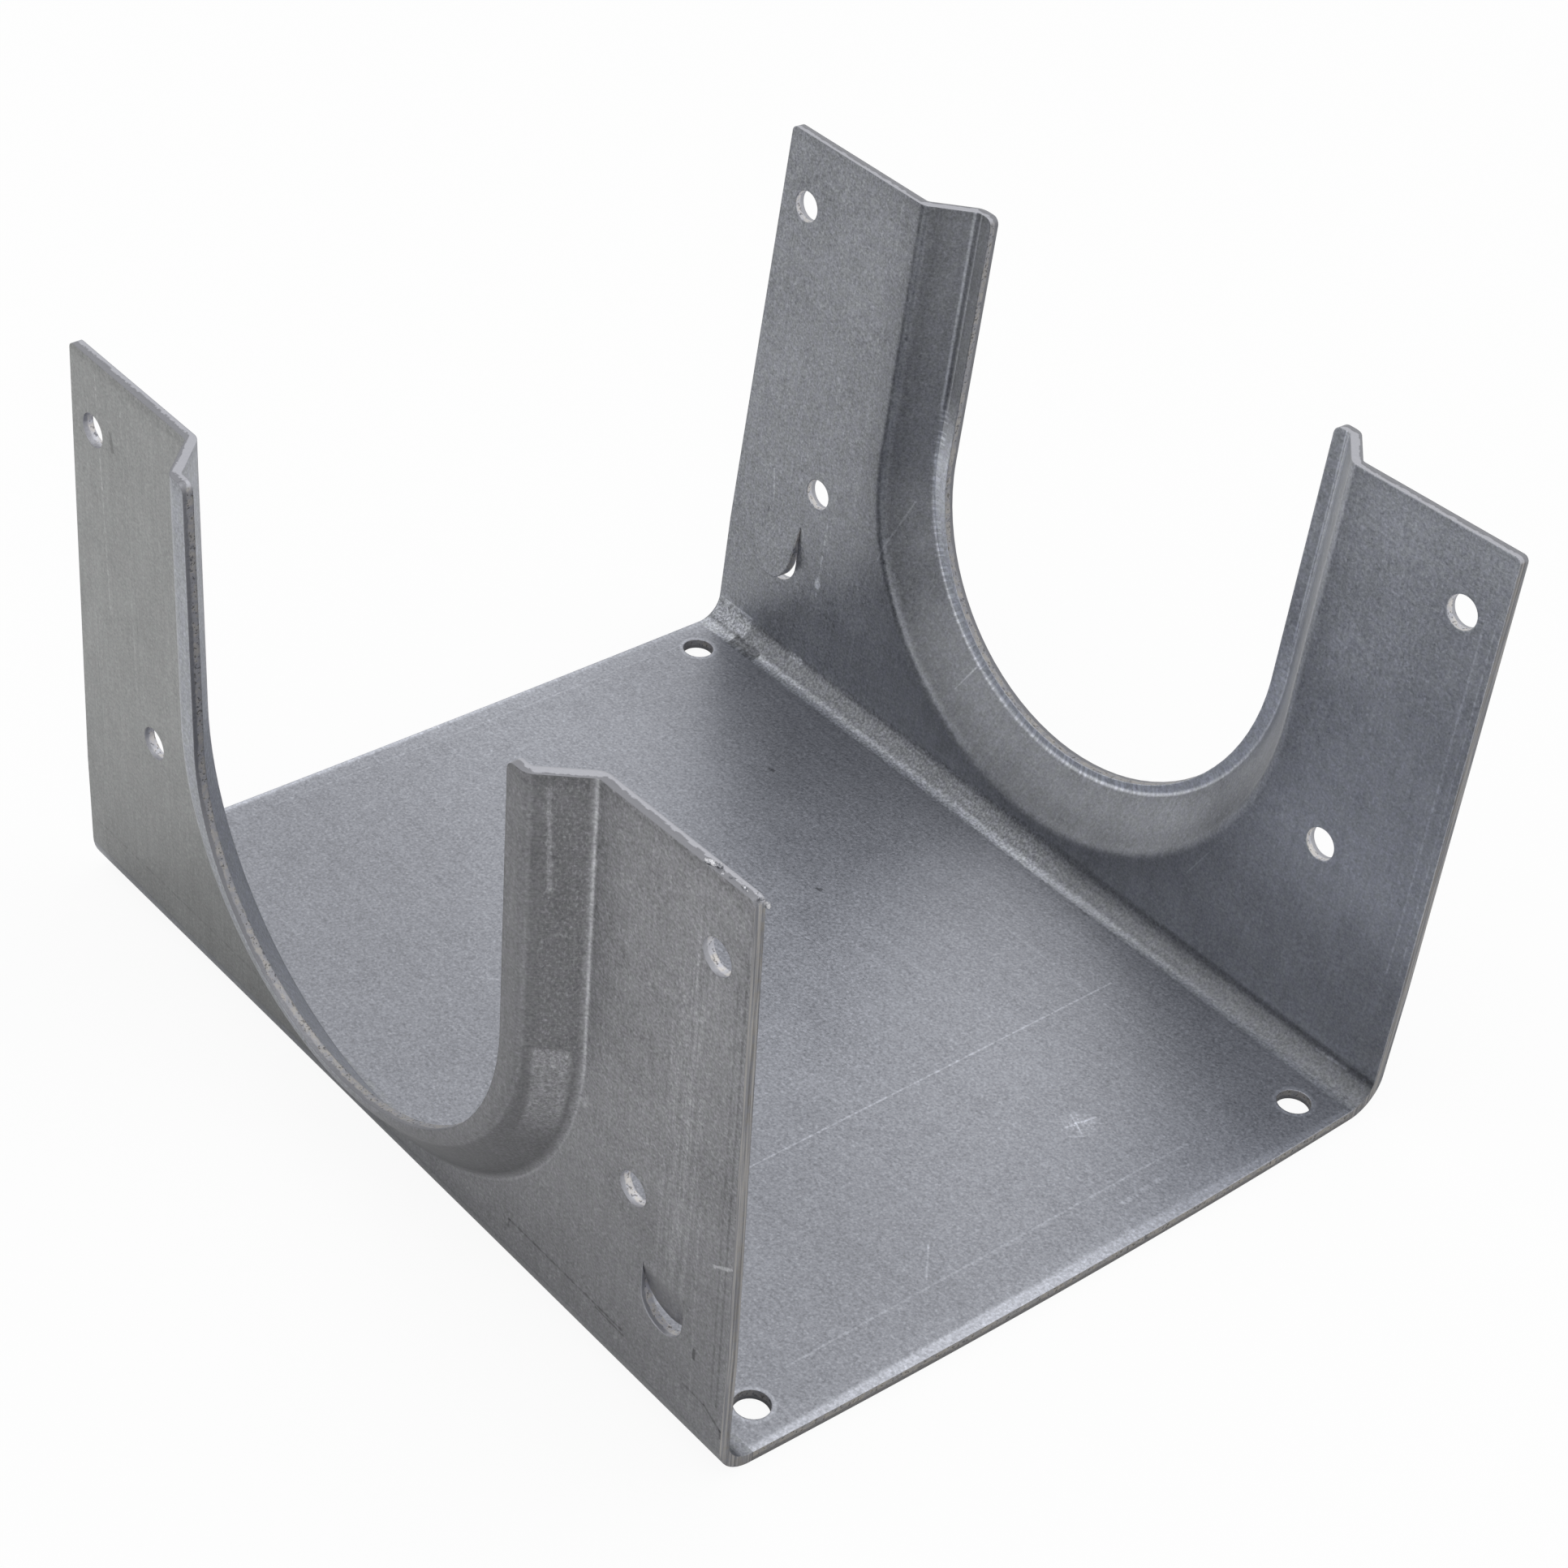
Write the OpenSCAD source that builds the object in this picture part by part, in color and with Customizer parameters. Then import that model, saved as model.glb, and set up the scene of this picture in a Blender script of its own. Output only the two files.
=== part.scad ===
// Stud shoe: one blank of galvanised sheet, folded into a channel that
// slips over doubled or tripled studs and lets a pipe pass through both
// side walls. +Z up, origin under the middle of the base, walls at +Y and -Y.

/* [Sheet] */
// Thickness of the sheet
sheet_t = 1.52; // [1.2:0.02:1.8]
// Inside radius of the two long folds
fold_r = 4; // [3:0.1:4.5]
// Outward lean of each side wall, in degrees
wall_lean = 2; // [0:0.25:4]

/* [Channel] */
// Length of the shoe
shoe_len = 139.7; // [134:0.1:160]
// Clear width between the walls, three studs of 38.1
seat_w = 114.3; // [76.2:0.1:120]
// Height of the walls, measured along the sheet from the underside
wall_h = 88; // [84:0.1:100]
// Fall of the top edges toward the middle of the wall
top_fall = 1.3; // [0:0.1:3]
// Radius of the outer corners at the top of the walls
corner_r = 0.9; // [0.4:0.1:4]
// Outward bow of the base's left end edge, less than 0 is hollow
left_bow = -0.3; // [-1:0.1:2]
// Outward bow of the base's right end edge
right_bow = 0.9; // [-1:0.1:2]

/* [Wall ends] */
// Height where the wall ends start to draw in
taper_start = 20; // [8:0.5:30]
// Near wall, amount that its left end draws in toward the top
near_left_in = 2.6; // [0:0.1:4]
// Near wall, amount that its right end draws in toward the top
near_right_in = 2.1; // [0:0.1:4]
// Far wall, amount that its left end draws in toward the top
far_left_in = 2.1; // [0:0.1:4]
// Far wall, amount that its right end draws in toward the top
far_right_in = 1.1; // [0:0.1:4]

/* [Pipe notch] */
// Clear width of the notch between its lips
notch_w = 64.8; // [60:0.1:66]
// Height of the centre of the round bottom, along the wall
notch_h = 47.8; // [47.7:0.1:52]
// Offset of both notches from the middle of the length
notch_x = 0.8; // [-3:0.1:3]
// Radius of the top corners of the lips
lip_corner_r = 1.2; // [0.4:0.1:1.8]

/* [Notch flange] */
// Distance from the wall to the face of the lip
flange_out = 5.9; // [4:0.1:8]
// Width of the lip, up to the meeting line with the ramp
lip_w = 3.2; // [2.8:0.1:4]
// Width of the sloping ramp, seen square to the wall
ramp_w = 5.4; // [4.5:0.1:5.6]
// Inside radius of the two folds of the flange
flange_r = 0.8; // [0.5:0.1:1]
// Rise of the lip round the bottom, where the flange is drawn thin
lip_rise = 2.8; // [0:0.1:3.2]
// Drop of the ramp's foot below the notch's own centre
foot_drop = 0.8; // [0:0.1:1]

/* [Nail holes] */
// Diameter of every nail hole
nail_d = 4.76; // [3:0.01:6]
// Upper wall holes, distance from the ends of the shoe
upper_end = 7.15; // [7:0.05:12]
// Upper wall holes, distance below the top of the wall
upper_drop = 11; // [8:0.1:16]
// Lower wall holes, distance from the ends of the shoe
lower_end = 18.35; // [10:0.05:19]
// Lower wall holes, height along the wall
lower_h = 33.7; // [30:0.1:40]
// Base holes, distance from the ends of the shoe
base_end = 5.85; // [5:0.05:20]
// Base holes, clear distance from the walls
base_edge = 8.9; // [7.5:0.1:20]

/* [Prong] */
// Distance of the prong from the end of the shoe
prong_end = 12.05; // [8:0.05:16]
// Width of the prong's slot
prong_w = 7.6; // [5:0.1:9]
// Height of the slot's round end, along the wall
prong_low = 15.5; // [14:0.1:17]
// Height of the near prong's fold, along the wall
near_prong_h = 23.8; // [22:0.1:27]
// Height of the far prong's fold, along the wall
far_prong_h = 26.4; // [22:0.1:27]
// Amount that the prong's round end falls short of the slot's
prong_short = 1; // [0.1:0.1:2]
// Angle that the prong stands in from the wall, in degrees
prong_angle = 14; // [5:1:30]
// Inside radius of the prong's fold
prong_r = 0.8; // [0.5:0.1:1.5]
// Clearance of the prong in its slot, on each side
prong_gap = 0.15; // [0.05:0.05:0.4]

/* [Hidden] */
$fn = 96;
over = 1;

// The long folds: outside radius and the line of their centres
fold_out = fold_r + sheet_t;
fold_y = seat_w / 2 - fold_r;

// The lean in use, taken so that its cosine is a round number
lean = acos(round(cos(wall_lean) * 1e6) / 1e6);

// The flange's section: the faces of ramp and lip meet at lip_r,
// the faces of ramp and wall at ramp_r
lip_r = notch_w / 2 + lip_w;
ramp_r = lip_r + ramp_w;
ramp_angle = atan2(flange_out, ramp_w);
lip_tan = (flange_r + sheet_t) * tan(ramp_angle / 2);
wall_tan = flange_r * tan(ramp_angle / 2);
flange_start = ramp_r + wall_tan;

// Distances of the holes and the prong from the middle of the wall
upper_x = shoe_len / 2 - upper_end;
upper_h = wall_h - upper_drop;
lower_x = shoe_len / 2 - lower_end;
prong_x = shoe_len / 2 - prong_end;

// Length of the prong's fold along its middle
prong_arc = (prong_r + sheet_t / 2) * prong_angle * PI / 180;

// The ramp's foot has its own centre, and all that stands off the wall's
// inner face slants up from there, so that the lip thins out round the bottom
foot_h = notch_h - foot_drop;
slant = lip_rise / (flange_out + sheet_t);

// Direction from one point to another
function unit(a, b) = (b - a) / norm(b - a);

// Points along an arc about c, from direction a to direction b
function arc(c, r, a, b, n = 8) = [
    for (i = [0:n]) let (w = a + (b - a) * i / n) c + r * [cos(w), sin(w)]
];

// Height of a wall's top edge at distance x from the middle
function top_at(x) = wall_h - top_fall * (1 - x / (shoe_len / 2));

// Points that round off the corner p between the edges toward a and b,
// from the edge toward a round to the edge toward b
function round_off(p, a, b, r) =
    let (
        da = unit(p, a),
        db = unit(p, b),
        turn = acos(da * db),
        c = p + (da + db) * r / sin(turn),
        ta = p + da * r / tan(turn / 2) - c,
        tb = p + db * r / tan(turn / 2) - c,
        wa = atan2(ta[1], ta[0]),
        wb = atan2(tb[1], tb[0]),
        full = wb - wa > 180 ? -360 : wb - wa < -180 ? 360 : 0
    ) arc(c, r, wa, wb + full);

// Section of the flange: X is the distance from the notch's centre, Y is the
// distance in from the wall's outer face, and its foot laps into the wall
module flange_section() {
    wall_c = [flange_start, -flange_r];
    lip_c = [lip_r - lip_tan, flange_r + sheet_t - flange_out];
    outside = flange_r + sheet_t;
    polygon(concat(
        [[flange_start + 2 * over, sheet_t], [flange_start + 2 * over, 0]],
        arc(wall_c, flange_r, 90, 90 + ramp_angle),
        arc(lip_c, outside, ramp_angle - 90, -90),
        [[notch_w / 2 - over, -flange_out], [notch_w / 2 - over, sheet_t - flange_out]],
        arc(lip_c, flange_r, -90, ramp_angle - 90),
        arc(wall_c, outside, 90 + ramp_angle, 90)
    ));
}

// One end of a wall's outline, from its foot up to the rounded top corner
function wall_end(draw) =
    let (
        half = shoe_len / 2,
        foot = [half, taper_start],
        top = [half - draw, top_at(half - draw)]
    ) concat(
        [[half, fold_out], foot],
        round_off(top, foot, [0, top_at(0)], corner_r)
    );

// Outline of a wall above the long fold: X along the shoe, Y up the wall.
// The ends toward -X and +X draw in by the two amounts
module wall_outline(draw) {
    left = wall_end(draw[0]);
    right = wall_end(draw[1]);
    n = len(left);
    polygon(concat(
        right,
        [[0, top_at(0)]],
        [for (i = [n - 1:-1:0]) [-left[i][0], left[i][1]]]
    ));
}

// Clear outline of the notch between its lips, open at the top
module notch_outline() {
    translate([0, notch_h])
        circle(notch_w / 2);
    translate([-notch_w / 2, notch_h])
        square([notch_w, wall_h]);
}

// The slot that is left where the prong is lanced out
module prong_slot(fold_h) {
    end = prong_low + prong_w / 2;
    translate([-prong_w / 2, end])
        square([prong_w, fold_h - end]);
    translate([0, end])
        circle(d = prong_w);
}

// The prong: a small fold, whose foot laps into the wall, and a tongue
module prong(fold_h) {
    w = prong_w - 2 * prong_gap;
    c = [fold_h, sheet_t + prong_r];
    start = 270 - prong_angle;
    straight = fold_h - prong_low - prong_short - prong_arc;
    along = straight * [-cos(prong_angle), sin(prong_angle)];
    outer = arc(c, prong_r + sheet_t, 270, start);
    inner = arc(c, prong_r, start, 270);
    tip = outer[len(outer) - 1] + along;
    intersection() {
        translate([-w / 2, 0, 0])
            rotate([90, 0, 90])
                linear_extrude(w)
                    polygon(concat(
                        [[fold_h + over, sheet_t], [fold_h + over, 0]],
                        outer,
                        [tip, inner[0] + along],
                        inner
                    ));
        translate([0, 0, -over])
            linear_extrude(2 * over + sheet_t + straight) {
                translate([-w / 2, tip[0] + w / 2])
                    square([w, fold_h - tip[0]]);
                translate([0, tip[0] + w / 2])
                    circle(d = w);
            }
    }
}

// The flange round the notch: two straight legs and the round bottom,
// slanted up from the wall's inner face
module flange() {
    leg = wall_h - foot_h + over;
    multmatrix([
        [1, 0, 0, 0],
        [0, 1, -slant, slant * sheet_t],
        [0, 0, 1, 0]
    ]) {
        for (s = [0, 1]) mirror([s, 0, 0])
            translate([0, leg, 0])
                rotate([90, 0, 0])
                    linear_extrude(leg)
                        flange_section();
        rotate_extrude(angle = 180, start = 180)
            flange_section();
    }
}

// What is cut away to round off the top corners of both lips
module lip_corners(shift) {
    bite = 0.01;
    for (s = [-1, 1]) {
        x = shift + s * notch_w / 2;
        far = x + s * lip_w;
        tip = [x + s * bite, top_at(abs(x)) - bite];
        beside = [far, top_at(abs(far)) - bite];
        below = [x + s * bite, notch_h];
        polygon(concat(
            round_off(tip, beside, below, lip_corner_r),
            [tip + over * [-s, 1]]
        ));
    }
}

// A side wall lying flat: outer face down, X along the shoe, Y up the wall
module flat_wall(shift, draw, fold_h) {
    difference() {
        intersection() {
            union() {
                linear_extrude(sheet_t)
                    difference() {
                        wall_outline(draw);
                        translate([shift, foot_h])
                            circle(flange_start + over / 2);
                        translate([shift - flange_start - over / 2, foot_h])
                            square([2 * flange_start + over, wall_h]);
                        for (s = [-1, 1]) {
                            translate([s * upper_x, upper_h])
                                circle(d = nail_d);
                            translate([s * lower_x, lower_h])
                                circle(d = nail_d);
                        }
                        translate([-prong_x, 0])
                            prong_slot(fold_h);
                    }
                translate([shift, foot_h, 0])
                    flange();
            }
            translate([0, 0, -flange_out - over])
                linear_extrude(flange_out + sheet_t + 2 * over)
                    wall_outline(draw);
        }
        translate([0, 0, -flange_out - over])
            linear_extrude(flange_out + sheet_t + 2 * over) {
                lip_corners(shift);
                translate([shift, 0])
                    notch_outline();
            }
    }
    translate([-prong_x, 0, 0])
        prong(fold_h);
}

// Turns what lies flat to the wall's own lean, about the fold's centre line
module leaned() {
    rotate([90 - lean, 0, 0])
        children();
}

// A long fold, from the base's edge up to the wall's foot
module long_fold() {
    reach = 2 * fold_out;
    difference() {
        rotate([0, 90, 0])
            difference() {
                cylinder(r = fold_out, h = shoe_len, center = true);
                cylinder(r = fold_r, h = shoe_len + 2 * over, center = true);
            }
        translate([-shoe_len, -reach, -reach])
            cube([2 * shoe_len, reach, 2 * reach]);
        leaned()
            translate([-shoe_len, 0, -reach])
                cube([2 * shoe_len, reach, 2 * reach]);
    }
}

// A long fold and the wall that rises from it, on the +Y side
module side(shift, draw, fold_h) {
    translate([0, fold_y, fold_out]) {
        long_fold();
        leaned()
            translate([0, -fold_out, -fold_out])
                flat_wall(shift, draw, fold_h);
    }
}

// The flat base between the two long folds
module base() {
    n = 12;
    right = [for (i = [-n:n]) [
        shoe_len / 2 + right_bow * (1 - pow(i / n, 2)),
        fold_y * i / n
    ]];
    left = [for (i = [n:-1:-n]) [
        -shoe_len / 2 - left_bow * (1 - pow(i / n, 2)),
        fold_y * i / n
    ]];
    linear_extrude(sheet_t)
        difference() {
            polygon(concat(right, left));
            for (x = [-1, 1], y = [-1, 1])
                translate([
                    x * (shoe_len / 2 - base_end),
                    y * (seat_w / 2 - base_edge)
                ])
                    circle(d = nail_d);
        }
}

// The whole folded shoe
module stud_shoe() {
    color([0.5, 0.51, 0.53]) {
        base();
        side(notch_x, [far_left_in, far_right_in], far_prong_h);
        rotate([0, 0, 180])
            side(-notch_x, [near_right_in, near_left_in], near_prong_h);
    }
}

stud_shoe();
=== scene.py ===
import math

import bpy
from mathutils import Matrix, Vector


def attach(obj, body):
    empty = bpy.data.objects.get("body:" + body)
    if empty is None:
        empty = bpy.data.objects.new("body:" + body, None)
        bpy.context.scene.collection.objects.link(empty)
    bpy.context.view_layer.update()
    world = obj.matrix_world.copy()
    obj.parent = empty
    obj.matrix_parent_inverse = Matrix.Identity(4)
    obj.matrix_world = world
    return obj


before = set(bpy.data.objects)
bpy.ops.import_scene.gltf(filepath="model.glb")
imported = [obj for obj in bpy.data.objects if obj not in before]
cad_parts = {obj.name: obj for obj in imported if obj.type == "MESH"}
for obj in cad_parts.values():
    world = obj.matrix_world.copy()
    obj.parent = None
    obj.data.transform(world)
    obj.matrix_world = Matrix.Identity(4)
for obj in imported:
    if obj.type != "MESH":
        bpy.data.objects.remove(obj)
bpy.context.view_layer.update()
print("frame loaded")

# Lengths of the folded sheet, in millimetres unless said otherwise
shoe = {
    "length": 139.7,
    "endBow": 0.5,         # the ends reach up to about this much past the length
    "sheet": 1.52,
    "foldY": 53.15,        # the long folds' centre lines
    "foldOut": 5.52,       # their outside radius
    "leanDegrees": 2.0,
    "wallTop": 88.0,
    "topFall": 1.3,
    "notchX": 0.8,
    "footHeight": 47.0,    # centre of the curve that the ramp starts from
    "wallBend": 41.3,      # where the wall turns outward
    "rampSlope": 1.0926,
    "lipOut": 5.9,
    "baseHole": (64.0, 48.25),
}


# Shader help
def newGroup(name, inputs, outputs):
    # inputs are (name, kind, value), outputs are (name, kind)
    g = bpy.data.node_groups.new(name, "ShaderNodeTree")
    kinds = {"f": "NodeSocketFloat", "v": "NodeSocketVector"}
    for n, kind, value in inputs:
        s = g.interface.new_socket(n, in_out="INPUT", socket_type=kinds[kind])
        if value is not None:
            s.default_value = value
    for n, kind in outputs:
        g.interface.new_socket(n, in_out="OUTPUT", socket_type=kinds[kind])
    return g, g.nodes.new("NodeGroupInput"), g.nodes.new("NodeGroupOutput")


def plug(tree, value, socket):
    # joins an output to a socket, or sets the socket to a plain value
    if hasattr(value, "is_output"):
        tree.links.new(value, socket)
    else:
        socket.default_value = value


def calc(tree, how, a, b=0.0, c=0.0):
    n = tree.nodes.new("ShaderNodeMath")
    n.operation = how
    for i, value in enumerate((a, b, c)):
        plug(tree, value, n.inputs[i])
    return n.outputs[0]


def madd(tree, value, factor, more):
    # value times factor, plus more
    return calc(tree, "MULTIPLY_ADD", value, factor, more)


def minus(tree, a, b):
    return calc(tree, "SUBTRACT", a, b)


def less(tree, value):
    return minus(tree, 1.0, value)


def centred(tree, value):
    # a noise value, moved to swing round 0
    return minus(tree, value, 0.5)


def limit(tree, value, low, high):
    return calc(tree, "MINIMUM", calc(tree, "MAXIMUM", value, low), high)


def times(tree, *values):
    result = values[0]
    for value in values[1:]:
        result = calc(tree, "MULTIPLY", result, value)
    return result


def most(tree, *values):
    result = values[0]
    for value in values[1:]:
        result = calc(tree, "MAXIMUM", result, value)
    return result


def ease(tree, value, low, high, toLow=0.0, toHigh=1.0):
    # smooth step from low to high
    n = tree.nodes.new("ShaderNodeMapRange")
    n.interpolation_type = "SMOOTHSTEP"
    plug(tree, value, n.inputs["Value"])
    plug(tree, low, n.inputs["From Min"])
    plug(tree, high, n.inputs["From Max"])
    n.inputs["To Min"].default_value = toLow
    n.inputs["To Max"].default_value = toHigh
    return n.outputs["Result"]


def fade(tree, value, low, high):
    # smooth step down, 1 at low and 0 at high
    return ease(tree, value, low, high, 1.0, 0.0)


def band(tree, value, low, high, soft):
    # 1 between low and high, with soft sides
    return calc(tree, "MULTIPLY", ease(tree, value, low - soft, low + soft),
                fade(tree, value, high - soft, high + soft))


def vec(tree, x, y, z):
    n = tree.nodes.new("ShaderNodeCombineXYZ")
    for i, value in enumerate((x, y, z)):
        plug(tree, value, n.inputs[i])
    return n.outputs[0]


def split(tree, vector):
    n = tree.nodes.new("ShaderNodeSeparateXYZ")
    plug(tree, vector, n.inputs[0])
    return n.outputs


def vecMath(tree, how, a, b):
    n = tree.nodes.new("ShaderNodeVectorMath")
    n.operation = how
    plug(tree, a, n.inputs[0])
    plug(tree, b, n.inputs[1])
    return n.outputs[0]


def scaled(tree, vector, factor):
    n = tree.nodes.new("ShaderNodeVectorMath")
    n.operation = "SCALE"
    plug(tree, vector, n.inputs[0])
    plug(tree, factor, n.inputs["Scale"])
    return n.outputs[0]


def noise(tree, vector, scale, detail, rough):
    n = tree.nodes.new("ShaderNodeTexNoise")
    plug(tree, vector, n.inputs["Vector"])
    n.inputs["Scale"].default_value = scale
    n.inputs["Detail"].default_value = detail
    n.inputs["Roughness"].default_value = rough
    return n.outputs["Fac"]


def grain(tree, u, v, scales, z, detail, rough):
    # noise drawn out along one way of a face
    place = vec(tree, times(tree, u, scales[0]), times(tree, v, scales[1]), z)
    return noise(tree, place, 1.0, detail, rough)


def blendTo(tree, start, end, share):
    # plain mix of two numbers
    n = tree.nodes.new("ShaderNodeMix")
    plug(tree, share, n.inputs[0])
    plug(tree, start, n.inputs[2])
    plug(tree, end, n.inputs[3])
    return n.outputs[0]


def blendColour(tree, start, end, share):
    n = tree.nodes.new("ShaderNodeMix")
    n.data_type = "RGBA"
    plug(tree, share, n.inputs[0])
    plug(tree, start, n.inputs[6])
    plug(tree, end, n.inputs[7])
    return n.outputs[2]


def use(tree, group, **values):
    # places a shared effect in a tree, with this material's own values
    n = tree.nodes.new("ShaderNodeGroup")
    n.node_tree = group
    for name, value in values.items():
        plug(tree, value, n.inputs[name])
    return n


# Soft limits between faces: a face counts as cut by how far its normal turns
faces = {
    "cutTurn": (0.45, 0.6),
    "foldCutTurn": (0.6, 0.8),
    "wallHeight": (4.6, 5.6),
    "floorY": (52.9, 53.15),
}


# Place on a wall: x along the shoe, height up the sheet and distance out from
# the wall's outer face, in millimetres, the same for both walls. Facing is 1 on
# the outer face and -1 on the inner one, Cut is 1 on sheared edges and in holes
def makeWallPlace():
    names = ("X", "Height", "Out", "Far", "Facing", "Cut", "Wall", "Floor", "Y", "Up")
    g, i, o = newGroup("wallPlace", [("Position", "v", None), ("Normal", "v", None)],
                       [(name, "f") for name in names])
    x, y, z = split(g, vecMath(g, "MULTIPLY", i.outputs["Position"], (1000.0, 1000.0, 1000.0)))
    nx, ny, nz = split(g, i.outputs["Normal"])
    lean = math.radians(shoe["leanDegrees"])
    sine, cosine = math.sin(lean), math.cos(lean)
    awayY = calc(g, "ABSOLUTE", y)
    across = minus(g, awayY, shoe["foldY"])
    up = minus(g, z, shoe["foldOut"])
    h = madd(g, across, sine, madd(g, up, cosine, shoe["foldOut"]))
    out = madd(g, across, cosine, madd(g, up, -sine, -shoe["foldOut"]))
    side = calc(g, "SIGN", y)
    facing = minus(g, times(g, ny, side, cosine), times(g, nz, sine))
    wall = ease(g, h, *faces["wallHeight"])
    floorPart = fade(g, awayY, *faces["floorY"])
    cutWall = fade(g, calc(g, "ABSOLUTE", facing), *faces["cutTurn"])
    cutFloor = fade(g, calc(g, "ABSOLUTE", nz), *faces["cutTurn"])
    cutFold = ease(g, calc(g, "ABSOLUTE", nx), *faces["foldCutTurn"])
    cut = blendTo(g, blendTo(g, cutFold, cutFloor, floorPart), cutWall, wall)
    far = calc(g, "GREATER_THAN", y, 0.0)
    for name, value in zip(names, (x, h, out, far, facing, cut, wall, floorPart, y, z)):
        g.links.new(value, o.inputs[name])
    return g


# Place in the notch: R is the distance from its middle line, or from Centre
# below it, and Angle the turn round the bottom, 0 straight down
def makeNotchPlace():
    inputs = [("X", "f", 0.0), ("Height", "f", 0.0), ("Centre", "f", shoe["footHeight"])]
    g, i, o = newGroup("notchPlace", inputs, [("R", "f"), ("Angle", "f")])
    dx = minus(g, i.outputs["X"], shoe["notchX"])
    dh = calc(g, "MINIMUM", minus(g, i.outputs["Height"], i.outputs["Centre"]), 0.0)
    r = calc(g, "SQRT", calc(g, "ADD", times(g, dx, dx), times(g, dh, dh)))
    g.links.new(r, o.inputs["R"])
    g.links.new(calc(g, "ARCTAN2", dx, times(g, dh, -1.0)), o.inputs["Angle"])
    return g


# How thin marks waver, for lengths in millimetres
thinLine = {
    "waveRates": (1.9, 4.7),
    "thickness": (0.09, 0.5),    # shares of the width that the waves and the line take
    "gapLevels": (-0.6, 0.4),
    "softness": (0.5, 1.5),
}


# One thin mark on a face: it starts at (X0, Y0), runs along (DX, DY) for Length,
# and is broken by gaps that two waves along it leave
def makeMark():
    inputs = [("X", "f", 0.0), ("Y", "f", 0.0), ("X0", "f", 0.0), ("Y0", "f", 0.0), ("DX", "f", 1.0),
              ("DY", "f", 0.0), ("Length", "f", 1.0), ("Width", "f", 0.3), ("Gaps", "f", 0.3)]
    g, i, o = newGroup("thinMark", inputs, [("Mask", "f")])
    v = i.outputs
    x, y = minus(g, v["X"], v["X0"]), minus(g, v["Y"], v["Y0"])
    along = madd(g, x, v["DX"], times(g, y, v["DY"]))
    slow, quick = thinLine["waveRates"]
    wave = calc(g, "SINE", madd(g, along, slow, v["X0"]))
    wobble = calc(g, "SINE", madd(g, along, quick, v["Y0"]))
    waves = calc(g, "ADD", wave, wobble)
    aside = calc(g, "ABSOLUTE", minus(g, times(g, x, v["DY"]), times(g, y, v["DX"])))
    half = times(g, v["Length"], 0.5)
    past = minus(g, calc(g, "ABSOLUTE", minus(g, along, half)), half)
    d = most(g, aside, past)
    thick = times(g, v["Width"], madd(g, waves, *thinLine["thickness"]))
    body = fade(g, calc(g, "DIVIDE", d, thick), *thinLine["softness"])
    broken = ease(g, waves, *thinLine["gapLevels"])
    kept = madd(g, minus(g, broken, 1.0), v["Gaps"], 1.0)
    g.links.new(times(g, body, kept), o.inputs["Mask"])
    return g


# Scales of the zinc's patterns, for places in metres, and what each adds to
# the tone
spangle = {
    "fine": (3000.0, 0.75),
    "flecks": (1900.0, 0.6),
    "bright": (1900.0, 0.18),
    "brightFrom": (0.56, 0.68),
    "cloud": (60.0, 0.35),
    "patch": (260.0, 0.3),
    "rolled": ((60.0, 1300.0, 1300.0), 0.2),
    "rough": (0.25, 0.12),       # what flecks and clouds add to the roughness
    "hue": 900.0,
}


# Dull zinc: fine speckle, short flecks, soft clouds and a faint rolling grain
def makeZinc():
    inputs = [("Position", "v", None), ("Speckle", "f", 1.0), ("Cloud", "f", 1.0), ("Grain", "f", 1.0)]
    g, i, o = newGroup("zincSpangle", inputs, [("Tone", "f"), ("Rough", "f"), ("Height", "f"), ("Hue", "f")])
    s, p = spangle, i.outputs["Position"]
    fine = noise(g, p, s["fine"][0], 1.0, 0.5)
    flecks = noise(g, p, s["flecks"][0], 2.0, 0.6)
    brightNoise = noise(g, vecMath(g, "ADD", p, (0.3, 0.1, 0.7)), s["bright"][0], 1.0, 0.6)
    bright = ease(g, brightNoise, *s["brightFrom"])
    cloud = noise(g, p, s["cloud"][0], 2.0, 0.6)
    patch = noise(g, vecMath(g, "ADD", p, (0.2, 0.6, 0.1)), s["patch"][0], 2.0, 0.6)
    stretched = vec(g, *(times(g, a, b) for a, b in zip(split(g, p), s["rolled"][0])))
    rolled = noise(g, stretched, 1.0, 1.0, 0.6)
    tone = times(g, centred(g, fine), s["fine"][1])
    tone = madd(g, centred(g, flecks), s["flecks"][1], tone)
    tone = madd(g, bright, s["bright"][1], tone)
    tone = times(g, tone, i.outputs["Speckle"])
    layers = ((cloud, "cloud", "Cloud"), (patch, "patch", "Cloud"), (rolled, "rolled", "Grain"))
    for value, name, share in layers:
        tone = calc(g, "ADD", tone, times(g, centred(g, value), s[name][1], i.outputs[share]))
    byFleck, byCloud = s["rough"]
    g.links.new(calc(g, "ADD", tone, 1.0), o.inputs["Tone"])
    g.links.new(madd(g, centred(g, flecks), byFleck, times(g, centred(g, cloud), byCloud)), o.inputs["Rough"])
    g.links.new(madd(g, fine, 0.5, flecks), o.inputs["Height"])
    g.links.new(noise(g, p, s["hue"], 1.0, 0.6), o.inputs["Hue"])
    return g


# Scales and levels of a sheared face
shear = {
    "coarse": 900.0,
    "chips": 2300.0,
    "border": 500.0,
    "borderDepth": 0.4,          # share of the sheet that the punch cuts cleanly
    "borderSwing": 0.5,
    "borderSoft": 0.08,
    "pits": (0.36, 0.44),
    "coarseTone": (1.1, 0.95),
    "pitTone": (0.55, 0.45),
    "relief": 2.0,
    "smoothTone": 0.95,
    "tornRough": 0.12,
    "tanFrom": (0.4, 0.6),
}


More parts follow.
